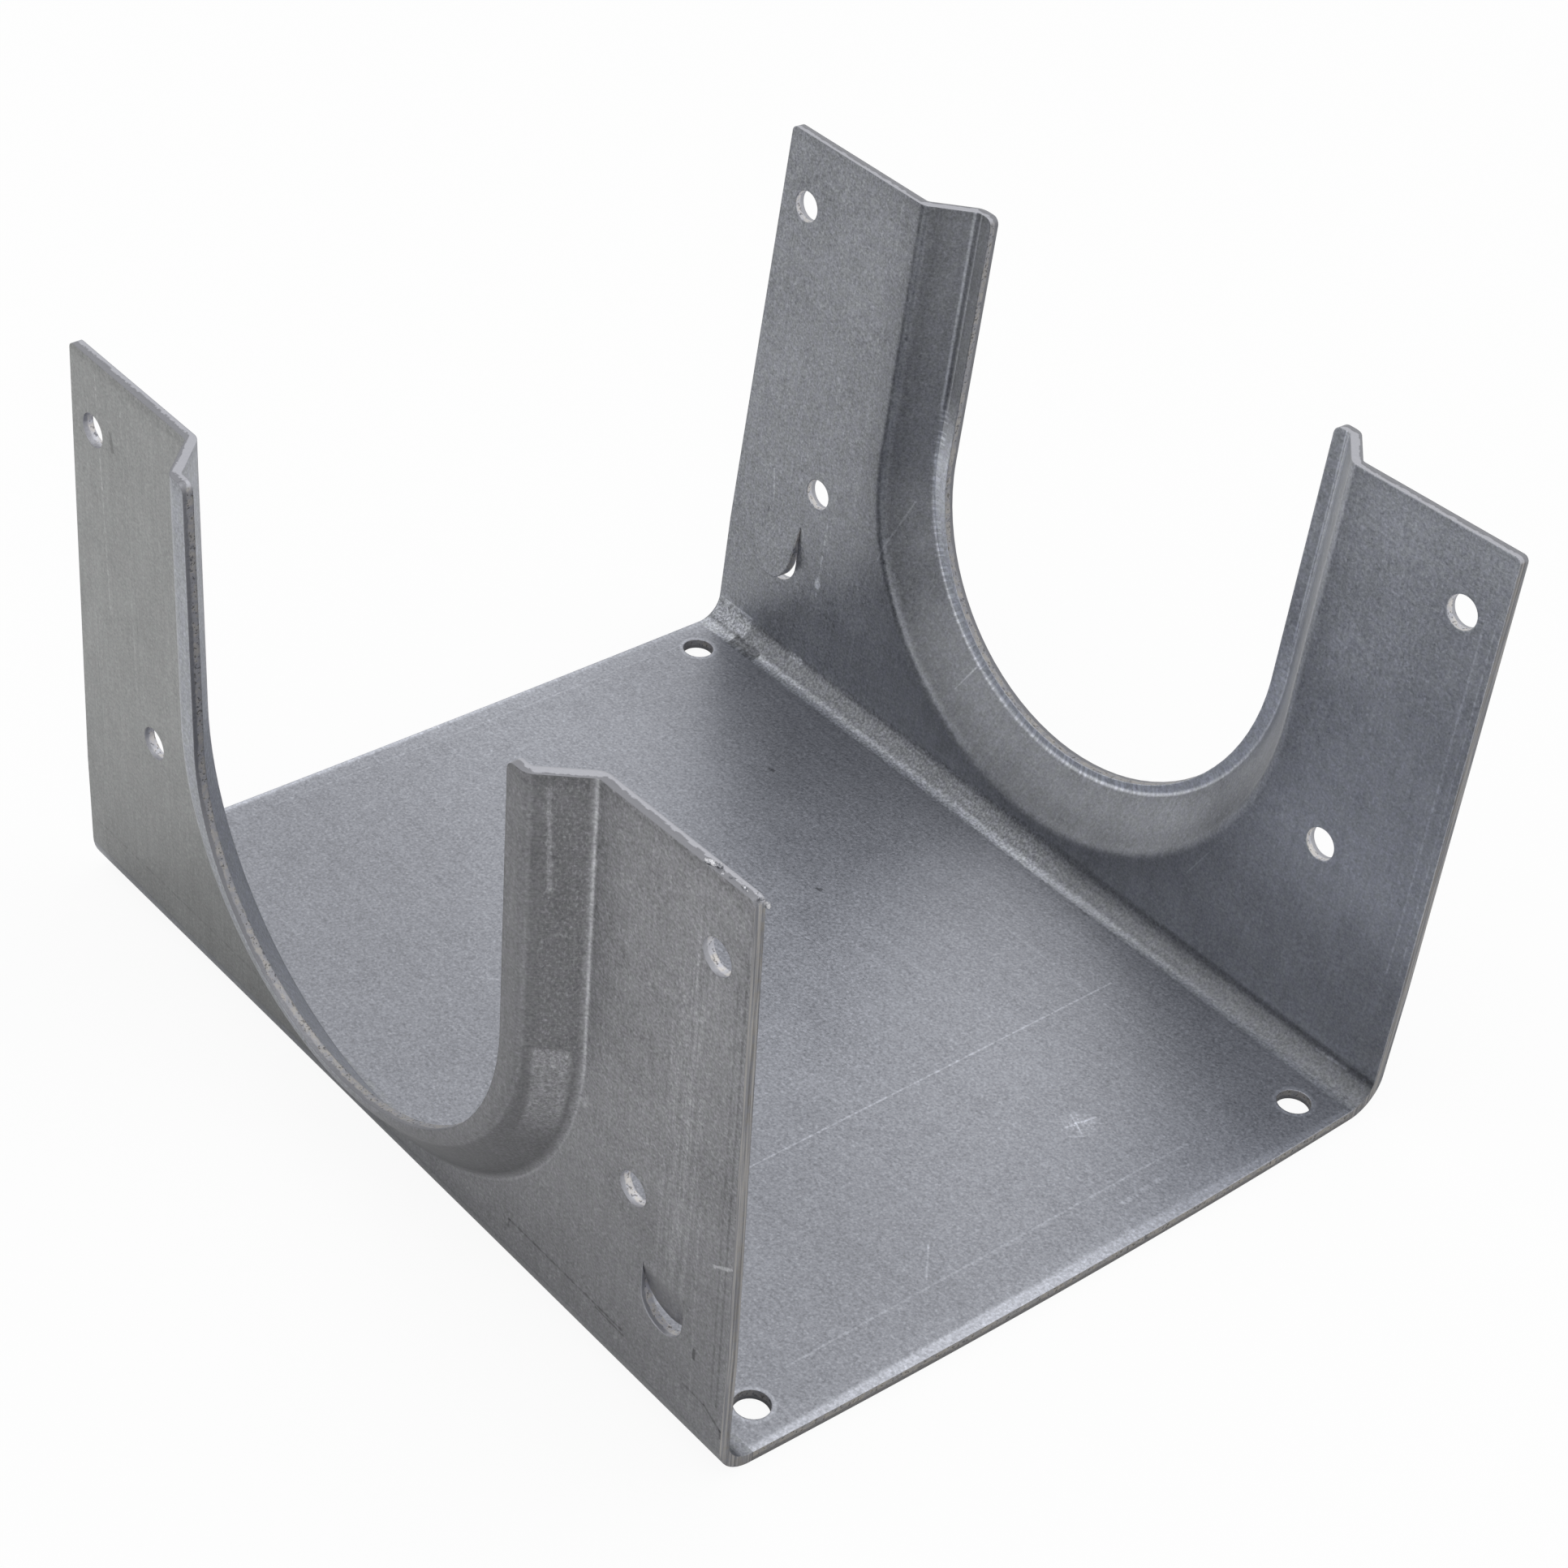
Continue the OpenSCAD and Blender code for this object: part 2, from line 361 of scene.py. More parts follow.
# A sheared face: smooth and dark where the punch went in, torn and light beyond
def makeTorn():
    g, i, o = newGroup("tornEdge", [("Position", "v", None), ("Depth", "f", 0.5)],
                       [("Tone", "f"), ("Rough", "f"), ("Height", "f"), ("Tan", "f")])
    s, p = shear, i.outputs["Position"]
    coarse = noise(g, p, s["coarse"], 3.0, 0.65)
    chips = noise(g, p, s["chips"], 2.0, 0.6)
    border = madd(g, centred(g, noise(g, p, s["border"], 2.0, 0.6)), s["borderSwing"], s["borderDepth"])
    torn = ease(g, i.outputs["Depth"], minus(g, border, s["borderSoft"]),
                calc(g, "ADD", border, s["borderSoft"]))
    pits = ease(g, chips, *s["pits"])
    light = times(g, madd(g, coarse, *s["coarseTone"]), madd(g, pits, *s["pitTone"]))
    g.links.new(blendTo(g, s["smoothTone"], light, torn), o.inputs["Tone"])
    g.links.new(blendTo(g, 0.0, s["tornRough"], torn), o.inputs["Rough"])
    g.links.new(times(g, chips, s["relief"]), o.inputs["Height"])
    g.links.new(times(g, torn, ease(g, coarse, *s["tanFrom"])), o.inputs["Tan"])
    return g


wallPlace = makeWallPlace()
notchPlace = makeNotchPlace()
thinMark = makeMark()
zincSpangle = makeZinc()
tornEdge = makeTorn()
print("shared effects made")

# Colours, finish and tones of the zinc; a tone of 1 is the plain metal
zinc = {
    "cool": (0.300, 0.309, 0.340, 1.0),
    "warm": (0.306, 0.309, 0.308, 1.0),
    "violet": (0.304, 0.303, 0.322, 1.0),
    "green": (0.290, 0.306, 0.300, 1.0),
    "rust": (0.325, 0.302, 0.262, 1.0),
    "greenShare": 0.35,
    "greenLevels": (0.35, 0.65),     # of the noise that picks it
    "cutViolet": 0.6,
    "rustShare": 0.5,
    "rough": 0.34,
    "roughLimits": (0.2, 0.7),
    "toneLimits": (0.08, 2.6),
    "bump": 0.10,
    "bumpDepth": 0.0002,
    "edgeRadius": 0.0003,
    "edgeSamples": 6,
    "baseRough": 0.40,
    # The tones from baseTone to farLipRight make faces and regions of the one zinc lighter or darker where
    # light and reflections fall on them: painted light and shade, not a difference in the metal
    "baseTone": 0.97,
    "litBaseMiddle": 1.15,
    "shadedBaseByFar": 1.0,      # the base beside the far fold, darker: painted shade from the far wall's dark reflection
    # The folds' dark tone is painted shade, and the line along the far fold is a painted highlight
    "foldShading": 0.52,
    "foldHighlight": 1.22,
    "nearLeft": 0.99,
    "nearRight": 0.87,
    "nearFootShade": 0.86,      # the near wall close to its long fold, darker: painted shade
    "nearRampShade": 0.57,
    "nearLipLeft": 1.18,
    "nearInside": 1.5,
    "nearInsideFoot": 0.95,
    "nearLip": 0.66,
    "farLeft": 0.87,
    "farRight": 1.52,
    "farLowShade": 0.84,
    "farLowRightShade": 1.05,
    "farRamp": 0.64,
    "farRampRight": 0.98,
    "farLip": 2.0,
    "farLipRight": 2.0,
    "cutDark": 0.85,       # the top edge, where the shear went in
    "cutLight": 1.5,       # and where the sheet tore
    "cutHole": 1.35,
    "cutNotch": 0.7,
    "endFace": 0.72,
    "baseHole": 0.6,
}

# Marks that use has left: face, from, to, width, strength and gaps, in
# millimetres, as x and height on a wall, x and y on the base
marks = [
    ("near", (66.3, 33.4), (69.2, 35.2), 0.45, 0.8, 0.1),
    ("near", (64.0, 16.3), (64.05, 17.6), 0.5, -0.55, 0.0),
    ("near", (53.0, 42.2), (54.6, 43.2), 0.25, 0.3, 0.3),
    ("near", (54.6, 43.2), (56.0, 42.4), 0.25, 0.3, 0.3),
    ("near", (-58.3, 78.6), (-58.0, 76.4), 0.7, -0.35, 0.2),
    ("near", (28.5, 9.9), (51.0, 9.6), 0.35, -0.42, 0.35),
    ("near", (46.0, 9.2), (51.3, 8.9), 0.3, -0.4, 0.1),
    ("near", (28.3, 8.6), (28.6, 9.9), 0.35, -0.4, 0.2),
    ("near", (62.5, 10.6), (66.5, 10.4), 0.35, -0.3, 0.2),
    ("near", (66.5, 10.4), (69.6, 8.6), 0.4, -0.4, 0.1),
    ("near", (69.6, 8.6), (69.7, 7.6), 0.4, -0.35, 0.1),
    ("near", (-68.0, 9.8), (-28.0, 9.8), 0.3, -0.2, 0.8),
    ("near", (59.8, 80.0), (60.3, 30.0), 0.35, 0.14, 0.9),
    ("near", (63.2, 40.0), (63.9, 8.0), 0.3, 0.22, 0.8),
    ("near", (38.2, 85.5), (38.5, 71.0), 0.4, 0.45, 0.2),
    ("near", (41.9, 40.0), (42.3, 40.4), 1.2, 0.3, 0.0),
    ("near", (66.4, 76.0), (67.6, 12.0), 0.35, -0.2, 0.4),
    ("near", (67.6, 80.0), (68.6, 12.0), 0.35, -0.28, 0.3),
    ("near", (-61.4, 86.0), (-61.0, 50.0), 0.25, 0.3, 0.7),
    ("near", (-55.6, 84.0), (-55.2, 40.0), 0.2, 0.16, 0.9),
    ("near", (-65.2, 50.0), (-64.0, 14.0), 0.2, 0.14, 0.9),
    ("far", (-17.0, 25.0), (-19.5, 16.0), 0.22, 0.5, 0.2),
    ("far", (-35.0, 40.0), (-37.0, 30.0), 0.22, 0.4, 0.3),
    ("far", (-48.5, 30.0), (-48.7, 17.0), 0.35, 0.5, 0.9),
    ("far", (-48.7, 19.3), (-48.7, 18.7), 1.0, 0.9, 0.0),
    ("far", (-25.0, 28.2), (-25.1, 28.8), 0.6, 0.5, 0.0),
    ("far", (-61.6, 33.0), (-60.8, 28.0), 0.3, 0.45, 0.1),
    ("far", (-43.4, 86.0), (-43.6, 34.0), 0.5, 0.12, 0.7),
    ("far", (66.2, 78.0), (66.8, 22.0), 0.3, 0.3, 0.6),
    ("far", (67.9, 78.0), (68.7, 22.0), 0.25, 0.3, 0.6),
    ("far", (60.0, 3.9), (65.0, 4.2), 0.4, 0.7, 0.4),
    ("far", (-62.5, 1.9), (-57.0, 1.8), 0.7, -0.6, 0.0),
    ("far", (34.5, 21.5), (31.5, 15.8), 0.2, 0.35, 0.2),
    ("base", (32.0, 45.0), (32.0, -22.0), 0.26, 0.42, 0.3),
    ("base", (61.5, 30.0), (61.6, -40.0), 0.3, 0.26, 0.35),
    ("base", (10.0, 41.0), (55.0, 41.0), 0.25, 0.16, 0.7),
    ("base", (56.0, -12.0), (60.5, -16.5), 0.25, 0.3, 0.4),
    ("base", (47.5, 17.0), (52.5, 23.5), 0.22, 0.25, 0.2),
    ("base", (50.8, 23.2), (50.0, 18.2), 0.35, 0.5, 0.2),
    ("base", (48.6, 20.8), (52.0, 19.4), 0.25, 0.4, 0.3),
    ("base", (51.6, 17.6), (52.6, 19.2), 0.3, 0.35, 0.3),
    ("base", (-66.4, -30.0), (-66.2, 47.0), 0.22, 0.22, 0.5),
    ("base", (64.3, 22.0), (64.8, 14.0), 0.6, 0.25, 0.9),
    ("base", (-33.2, 37.0), (-32.6, 37.2), 0.6, -0.5, 0.0),
    ("base", (-7.3, 24.0), (-6.8, 24.2), 0.6, -0.5, 0.0),
    ("base", (-20.0, -30.0), (-14.0, -24.0), 0.22, 0.2, 0.5),
    ("base", (-52.0, 8.0), (-40.0, 10.0), 0.22, 0.16, 0.7),
]

# The next four hold places in millimetres and strengths ("Lift"). A pair is
# where an effect starts and where it is full; a third number is how soft its
# sides are, and a third and fourth are its values at the two places
baseLook = {
    "topUp": (1.3, 1.5),
    "middleY": (-35.0, 15.0),
    "farY": (20.0, 47.0),
    "paleSpot": ((2.0, 2.0), 28.0, 24.0),
    "paleLift": 0.12,
    "rimHighlight": (1.0, 1.8),               # the end's rolled edge, lighter: painted highlight, by the gap to the end
    "rimY": (-20.0, 35.0, 1.0, 0.4),
    "rimLift": 0.6,
    "end": (1.5, 5.0),
    "endLift": 0.08,
    "holeRim": (2.4, 3.0, 0.2),
    "holeLift": 0.3,
    "dent": ((50.6, 20.8), 1.8, 1.2),
    "dentGrit": 2200.0,
    "dentLevels": (0.48, 0.58),
    "dentLift": 0.4,
    "speckle": 1.05,
    "cloud": 0.5,
    "cutRust": (0.4, 0.3),           # shares of the torn part and of the end face
    "cutRough": 0.1,
}

wallLook = {
    "facing": (0.3, 0.6),
    "rightX": (-10.0, 20.0),
    "ramp": (0.5, 5.4, 0.35),        # distances out from the wall's outer face
    "lip": (5.2, 5.75),
    "plate": (0.1, 0.8),
    "outerSkin": (-1.2, -0.4),
    "foldInside": (-1.3, -1.0),
    "footUp": (4.0, 45.0),
    "topEdge": (0.3, 0.8),           # gap to the top edge
    "topDull": (0.5, 2.2),
    "topDullLift": -0.2,
    "endEdge": (2.4, 3.2),           # gap to the end edge
    "notchCut": (42.0, 43.0),        # radius where the notch's own edge stops
    "streakGrain": (1.6, 0.05),
    "streakLift": 0.34,
    "grain": (1.0, 0.3),             # rolling grain on the folds and on the faces
    "tornTop": (0.62, 0.78),
    "tornTan": 0.2,
    "endGrain": (3.2, 0.05, 0.02),
    "endLevels": (0.35, 0.65),
    "endTones": (0.6, 0.52),         # streaks of the end face, and its plain tone
    "endTan": (0.45, 0.6),
    "cutRough": 0.04,
    "rampRough": 0.08,
    "relief": 2.2,                   # how much rougher a torn face is
}

nearLook = {
    "foldUp": (1.2, 3.0),
    "bend": (40.8, 41.1, 0.15),      # radii round the notch of a light line along the wall's bend: painted highlight
    "bendX": (12.0, 28.0),
    "bendUp": (40.0, 46.0, 0.2, 0.6),
    "legUp": (43.0, 47.0),
    "legFlecks": (37.0, 40.6, 0.6),
    "rampFlecks": 0.15,
    "fleckGrain": (4.4, 1.5),
    "fleckLevels": (0.5, 0.62),
    "fleckLift": 0.4,
    "brushGrain": (0.5, 5.0),
    "brushLift": 0.35,
    "wornUp": (30.0, 47.6, 0.3),
    "wornRadius": (36.7, 39.8, 0.3),
    "wornFade": (28.0, 38.0),
    "wornGrit": 2400.0,
    "wornLevels": (0.40, 0.60),
    "wornShare": (0.6, 0.4),         # what is worn in grains, and what evenly
    "wornLift": 0.8,
    "earUp": (20.0, 50.0),
    "stripeX": (56.5, 62.0, 2.0),
    "stripeUp": (22.0, 80.0, 8.0),
    "stripeLevels": (0.42, 0.6),
    "stripeShare": (0.7, 0.3),
    "stripeLift": 0.3,
    "topLevels": (0.3, 0.6),
    "earSpeckle": (0.35, -0.3),      # what the right and the left ear add
    "cloud": (0.5, 0.7),
}

farLook = {
    "rightX": (10.0, 50.0),
    "lowUp": (2.0, 26.0, 8.0),
    "rampIn": (-1.5, -0.4),          # distances out from the wall's outer face
    "rampEnd": (3.3, 3.9),
    "rampShadeOut": (-1.0, 2.8),
    "rampShades": (0.88, 1.15),
    "lip": (4.0, 4.36),
    "lipUp": (45.0, 60.0),
    # darker towards the foot bend: painted shade
    "footShadeRadius": (40.5, 47.0, 0.86, 1.0),
    "foldUp": (1.5, 1.56),
    "foldDark": (1.6, 2.1),
    "foldSkew": 0.0025,
    # a light band along the left foot bend that hides its dark shading line: painted light
    "foot": (39.5, 40.3, 0.5),
    "footX": (-22.0, -6.0),
    "footLift": 0.4,
    # light lines where the ramp steps into the lip: painted highlights
    "stepRadii": ((35.2, 35.45, 0.12), (34.3, 34.5, 0.12)),
    "stepUp": (54.0, 57.0),
    "stepLift": 0.8,
    "imprints": (((-65.8, 3.9), (4.2, 1.6), 0.15), ((-50.5, 4.4), (1.5, 0.5), 0.3)),
    "imprintLift": 0.75,
    "fleckX": (-70.0, 8.0, 6.0),
    "fleckY": (50.5, 53.0),
    "fleckLift": 0.3,
    "foldLift": 0.32,
    "grit": 2500.0,
    "gritLevels": (0.38, 0.62),
    "imprintShare": (0.5, 0.6),
    "pitLevels": (0.35, 0.65),
    "pitMiddle": 0.4,
    "outerViolet": 0.5,
    "speckle": (0.5, 0.85),
    "cloud": (0.4, 0.6),
    "speckleX": (-50.0, -25.0),
}

# Short radial ticks that the die left along the far lip's bend
tick = {
    "centreUp": 2.2,                 # above the ramp's own centre
    "legTurn": -35.0,                # millimetres of leg that count as one radian
    "rate": 210.0,
    "drift": (11.0, 0.02),
    "groups": (61.0, 0.6),
    "levels": (0.2, 0.9),
    "radius": (33.9, 35.3, 0.25),
    "below": (55.5, 57.5),
    "rightX": (4.0, 22.0, 1.0, 0.2),
    "lift": 0.5,
}


def patchMask(tree, u, v, centre, half, soft):
    # a soft-sided rectangle on a face
    return times(tree, band(tree, u, centre[0] - half[0], centre[0] + half[0], soft),
                 band(tree, v, centre[1] - half[1], centre[1] + half[1], soft))


def spotMask(tree, u, v, centre, radius, soft):
    # a soft-sided disc on a face
    a, b = minus(tree, u, centre[0]), minus(tree, v, centre[1])
    d = calc(tree, "SQRT", madd(tree, a, a, calc(tree, "MULTIPLY", b, b)))
    return fade(tree, d, radius - soft, radius + soft)


def gain(tree, tone, amount, strength):
    # lightens a tone by strength where amount is 1
    return calc(tree, "MULTIPLY", tone, madd(tree, amount, strength, 1.0))


def swing(tree, tone, value, strength):
    # lets a noise move a tone up and down
    return times(tree, tone, madd(tree, centred(tree, value), strength, 1.0))


def addMarks(tree, face, u, v, share):
    # the thin marks of one face, as one number round 0
    light = 0.0
    for where, start, end, width, strength, gaps in marks:
        if where != face:
            continue
        line = Vector(end) - Vector(start)
        way = line.normalized()
        mask = use(tree, thinMark, X=u, Y=v, X0=start[0], Y0=start[1], DX=way.x, DY=way.y,
                   Length=line.length, Width=width, Gaps=gaps)
        light = madd(tree, mask.outputs[0], strength, light)
    return times(tree, light, share)


def metal(tree, tone, colour, rough, relief):
    # one piece of bare zinc, its sheared edges a little round
    tint = scaled(tree, colour, limit(tree, tone, *zinc["toneLimits"]))
    soft = tree.nodes.new("ShaderNodeBevel")
    soft.samples = zinc["edgeSamples"]
    soft.inputs["Radius"].default_value = zinc["edgeRadius"]
    bump = tree.nodes.new("ShaderNodeBump")
    bump.inputs["Strength"].default_value = zinc["bump"]
    bump.inputs["Distance"].default_value = zinc["bumpDepth"]
    tree.links.new(relief, bump.inputs["Height"])
    tree.links.new(soft.outputs[0], bump.inputs["Normal"])
    shader = tree.nodes.new("ShaderNodeBsdfPrincipled")
    shader.inputs["Metallic"].default_value = 1.0
    tree.links.new(tint, shader.inputs["Base Color"])
    tree.links.new(limit(tree, rough, *zinc["roughLimits"]), shader.inputs["Roughness"])
    tree.links.new(bump.outputs[0], shader.inputs["Normal"])
    return shader.outputs[0]


def chooseShader(tree, share, start, end):
    n = tree.nodes.new("ShaderNodeMixShader")
    for i, value in enumerate((share, start, end)):
        tree.links.new(value, n.inputs[i])
    return n.outputs[0]


def toEnd(tree, x):
    # gap to the outermost point of the nearer end
    return minus(tree, shoe["length"] / 2 + shoe["endBow"], calc(tree, "ABSOLUTE", x))


def dressBase(t, place, w):
    x, y, up, cut = w["X"], w["Y"], w["Up"], w["Cut"]
    b = baseLook
    floorTop = times(t, ease(t, up, *b["topUp"]), less(t, cut))
    endGap = toEnd(t, x)
    # Lighter middle and darker side by the far fold: painted light and painted shade
    tone = blendTo(t, zinc["baseTone"], zinc["litBaseMiddle"], ease(t, y, *b["middleY"]))
    tone = blendTo(t, tone, zinc["shadedBaseByFar"], ease(t, y, *b["farY"]))
    tone = gain(t, tone, spotMask(t, x, y, *b["paleSpot"]), b["paleLift"])
    tone = gain(t, tone, addMarks(t, "base", x, y, floorTop), 1.0)
    # A light line along the base ends' rolled edge: painted highlight
    rimHighlight = times(t, floorTop, fade(t, endGap, *b["rimHighlight"]), ease(t, y, *b["rimY"]))
    tone = gain(t, tone, rimHighlight, b["rimLift"])
    tone = gain(t, tone, times(t, floorTop, fade(t, endGap, *b["end"])), b["endLift"])
    holeX, holeY = (minus(t, calc(t, "ABSOLUTE", u), at) for u, at in zip((x, y), shoe["baseHole"]))
    fromHole = calc(t, "SQRT", madd(t, holeX, holeX, calc(t, "MULTIPLY", holeY, holeY)))
    tone = gain(t, tone, times(t, floorTop, band(t, fromHole, *b["holeRim"])), b["holeLift"])
    chipped = ease(t, noise(t, place, b["dentGrit"], 3.0, 0.7), *b["dentLevels"])
    dent = times(t, spotMask(t, x, y, *b["dent"]), chipped)
    tone = gain(t, tone, times(t, dent, floorTop), b["dentLift"])
    skin = use(t, zincSpangle, Position=place, Speckle=b["speckle"], Cloud=b["cloud"], Grain=1.0).outputs
    torn = use(t, tornEdge, Position=place, Depth=calc(t, "DIVIDE", up, shoe["sheet"])).outputs
    onEnd = times(t, cut, fade(t, endGap, *wallLook["endEdge"]))
    cutTone = times(t, torn["Tone"], blendTo(t, zinc["baseHole"], zinc["endFace"], onEnd))
    tone = blendTo(t, times(t, tone, skin["Tone"]), cutTone, cut)
    colour = blendColour(t, zinc["cool"], zinc["violet"], times(t, cut, zinc["cutViolet"]))
    rusty = times(t, cut, madd(t, torn["Tan"], b["cutRust"][0], times(t, onEnd, b["cutRust"][1])))
    colour = blendColour(t, colour, zinc["rust"], rusty)
    rough = calc(t, "ADD", zinc["baseRough"], skin["Rough"])
    rough = madd(t, cut, calc(t, "ADD", torn["Rough"], b["cutRough"]), rough)
    relief = blendTo(t, skin["Height"], times(t, torn["Height"], wallLook["relief"]), cut)
    return metal(t, tone, colour, rough, relief)


def wallParts(t, w):
    # what both walls share: which side is seen, and how deep a sheared face is
    x, h, out, cut, wall = (w[k] for k in ("X", "Height", "Out", "Cut", "Wall"))
    k = wallLook
    p = {"skin": less(t, cut)}
    p["outer"] = times(t, ease(t, w["Facing"], *k["facing"]), wall, p["skin"])
    inward = calc(t, "MULTIPLY", w["Facing"], -1.0)
    p["inner"] = times(t, ease(t, inward, *k["facing"]), wall, p["skin"])
    p["both"] = most(t, p["outer"], p["inner"])
    p["fold"] = less(t, wall)
    p["radius"] = use(t, notchPlace, X=x, Height=h, Centre=shoe["footHeight"]).outputs["R"]
    p["right"] = ease(t, x, *k["rightX"])
    p["ramp"] = times(t, p["outer"], band(t, out, *k["ramp"]))
    p["lip"] = times(t, p["outer"], ease(t, out, *k["lip"]))
    p["plate"] = times(t, p["outer"], fade(t, out, *k["plate"]))
    share = calc(t, "DIVIDE", calc(t, "ABSOLUTE", x), shoe["length"] / 2)
    fallen = times(t, less(t, share), shoe["topFall"])
    p["topGap"] = minus(t, minus(t, shoe["wallTop"], h), fallen)
    p["endGap"] = toEnd(t, x)
    rise = times(t, minus(t, shoe["wallBend"], p["radius"]), shoe["rampSlope"])
    lipHere = limit(t, rise, 0.0, shoe["lipOut"])
    p["depth"] = limit(t, times(t, minus(t, lipHere, out), 1.0 / shoe["sheet"]), 0.0, 1.0)
    return p


# Outer face tone, lighter to the left, darker to the right and darker low down by the fold: painted light and
# shade
def outerTone(t, h, p):
    tone = blendTo(t, zinc["nearLeft"], zinc["nearRight"], p["right"])
    return blendTo(t, tone, zinc["nearFootShade"], fade(t, h, *wallLook["footUp"]))


def wallMetal(t, place, w, p, tone, colour, speckle, cloudy, roughMore):
    # zinc skin of a wall, with the sheared faces of its edges and holes
    h, out, y, cut = w["Height"], w["Out"], w["Y"], w["Cut"]
    k = wallLook
    skin = use(t, zincSpangle, Position=place, Speckle=speckle, Cloud=cloudy,
               Grain=blendTo(t, *k["grain"], p["both"])).outputs
    torn = use(t, tornEdge, Position=place, Depth=p["depth"]).outputs
    onTop = times(t, w["Wall"], fade(t, p["topGap"], *k["topEdge"]))
    onEnd = times(t, fade(t, p["endGap"], *k["endEdge"]), less(t, onTop), cut)
    endPlace = vec(t, *(times(t, a, b) for a, b in zip((out, h, y), k["endGrain"])))
    endStreak = noise(t, endPlace, 1.0, 3.0, 0.7)

    notchOrHole = blendTo(t, zinc["cutNotch"], zinc["cutHole"], ease(t, p["radius"], *k["notchCut"]))
    cutTone = times(t, torn["Tone"], notchOrHole)
    tornTop = ease(t, madd(t, torn["Tan"], k["tornTan"], p["depth"]), *k["tornTop"])
    cutTone = blendTo(t, cutTone, blendTo(t, zinc["cutDark"], zinc["cutLight"], tornTop), onTop)
    cutTone = blendTo(t, cutTone, madd(t, ease(t, endStreak, *k["endLevels"]), *k["endTones"]), onEnd)
    tone = blendTo(t, times(t, tone, skin["Tone"]), cutTone, cut)

    hue = ease(t, skin["Hue"], *zinc["greenLevels"])
    colour = blendColour(t, colour, zinc["green"], times(t, hue, zinc["greenShare"], p["skin"]))
    colour = blendColour(t, colour, zinc["violet"], times(t, cut, zinc["cutViolet"]))
    tanPart = most(t, times(t, torn["Tan"], cut, less(t, onTop)),
                   times(t, onEnd, ease(t, endStreak, *k["endTan"])))
    colour = blendColour(t, colour, zinc["rust"], times(t, tanPart, zinc["rustShare"]))
    rough = calc(t, "ADD", calc(t, "ADD", zinc["rough"], skin["Rough"]), roughMore)
    rough = madd(t, cut, calc(t, "ADD", torn["Rough"], k["cutRough"]), rough)
    relief = blendTo(t, skin["Height"], times(t, torn["Height"], k["relief"]), cut)
    return metal(t, tone, colour, rough, relief)


def dressNear(t, place, w, p):
    x, h, out = w["X"], w["Height"], w["Out"]
    k, n = wallLook, nearLook
    outSide = most(t, p["outer"], times(t, p["fold"], ease(t, out, *k["outerSkin"])))
    # the near fold darker than the base: painted shade
    tone = blendTo(t, zinc["baseTone"], zinc["foldShading"], ease(t, h, *n["foldUp"]))
    tone = blendTo(t, tone, outerTone(t, h, p), outSide)
    # Ramp darker, lip lighter on the left and darker on the right, inner face lighter: painted light and
    # shade by region
    tone = blendTo(t, tone, zinc["nearRampShade"], p["ramp"])
    tone = blendTo(t, tone, blendTo(t, zinc["nearLipLeft"], zinc["nearLip"], p["right"]), p["lip"])
    inside = blendTo(t, zinc["nearInsideFoot"], zinc["nearInside"], ease(t, out, *k["outerSkin"]))
    tone = blendTo(t, tone, inside, p["inner"])
    # A light line where the wall bends out round the notch: painted highlight
    bend = times(t, band(t, p["radius"], *n["bend"]), outSide, ease(t, x, *n["bendX"]))
    tone = gain(t, tone, times(t, bend, ease(t, h, *n["bendUp"])), 1.0)
    tone = gain(t, tone, addMarks(t, "near", x, h, most(t, p["outer"], p["fold"])), 1.0)

    # places that are worn, before any noise, so that the shader stays small
    legRamp = times(t, p["ramp"], p["right"], ease(t, h, *n["legUp"]))
    flecked = most(t, times(t, legRamp, band(t, p["radius"], *n["legFlecks"])),
                   times(t, p["ramp"], n["rampFlecks"]))
    wornPlace = times(t, p["ramp"], p["right"], band(t, h, *n["wornUp"]),
                      band(t, p["radius"], *n["wornRadius"]), ease(t, h, *n["wornFade"]))
    roughEar = times(t, p["plate"], p["right"], ease(t, h, *n["earUp"]))

    streak = grain(t, x, h, k["streakGrain"], 0.0, 3.0, 0.65)
    tone = swing(t, tone, streak, times(t, p["both"], k["streakLift"]))
    flecks = ease(t, grain(t, x, h, n["fleckGrain"], 0.0, 3.0, 0.7), *n["fleckLevels"])
    tone = gain(t, tone, times(t, flecks, flecked), n["fleckLift"])
    brushed = grain(t, x, h, n["brushGrain"], 0.0, 2.0, 0.6)
    tone = swing(t, tone, brushed, times(t, legRamp, n["brushLift"]))
    worn = noise(t, place, n["wornGrit"], 2.0, 0.7)
    scuffed = madd(t, ease(t, worn, *n["wornLevels"]), *n["wornShare"])
    tone = gain(t, tone, times(t, wornPlace, scuffed), n["wornLift"])
    stripe = times(t, p["plate"], band(t, x, *n["stripeX"]), band(t, h, *n["stripeUp"]),
                   ease(t, streak, *n["stripeLevels"]))
    grainy = madd(t, ease(t, worn, *n["stripeLevels"]), *n["stripeShare"])
    tone = gain(t, tone, times(t, stripe, grainy), n["stripeLift"])
    byTop = times(t, p["both"], fade(t, p["topGap"], *k["topDull"]), ease(t, worn, *n["topLevels"]))
    tone = gain(t, tone, byTop, k["topDullLift"])

    leftEar = times(t, p["plate"], less(t, p["right"]))
    colour = blendColour(t, zinc["cool"], zinc["warm"], leftEar)
    colour = blendColour(t, colour, zinc["violet"], times(t, outSide, p["right"]))
    speckle = madd(t, roughEar, n["earSpeckle"][0], madd(t, leftEar, n["earSpeckle"][1], 1.0))
    cloudy = madd(t, roughEar, *n["cloud"])
    roughMore = times(t, most(t, roughEar, p["ramp"]), k["rampRough"])
    return wallMetal(t, place, w, p, tone, colour, speckle, cloudy, roughMore)


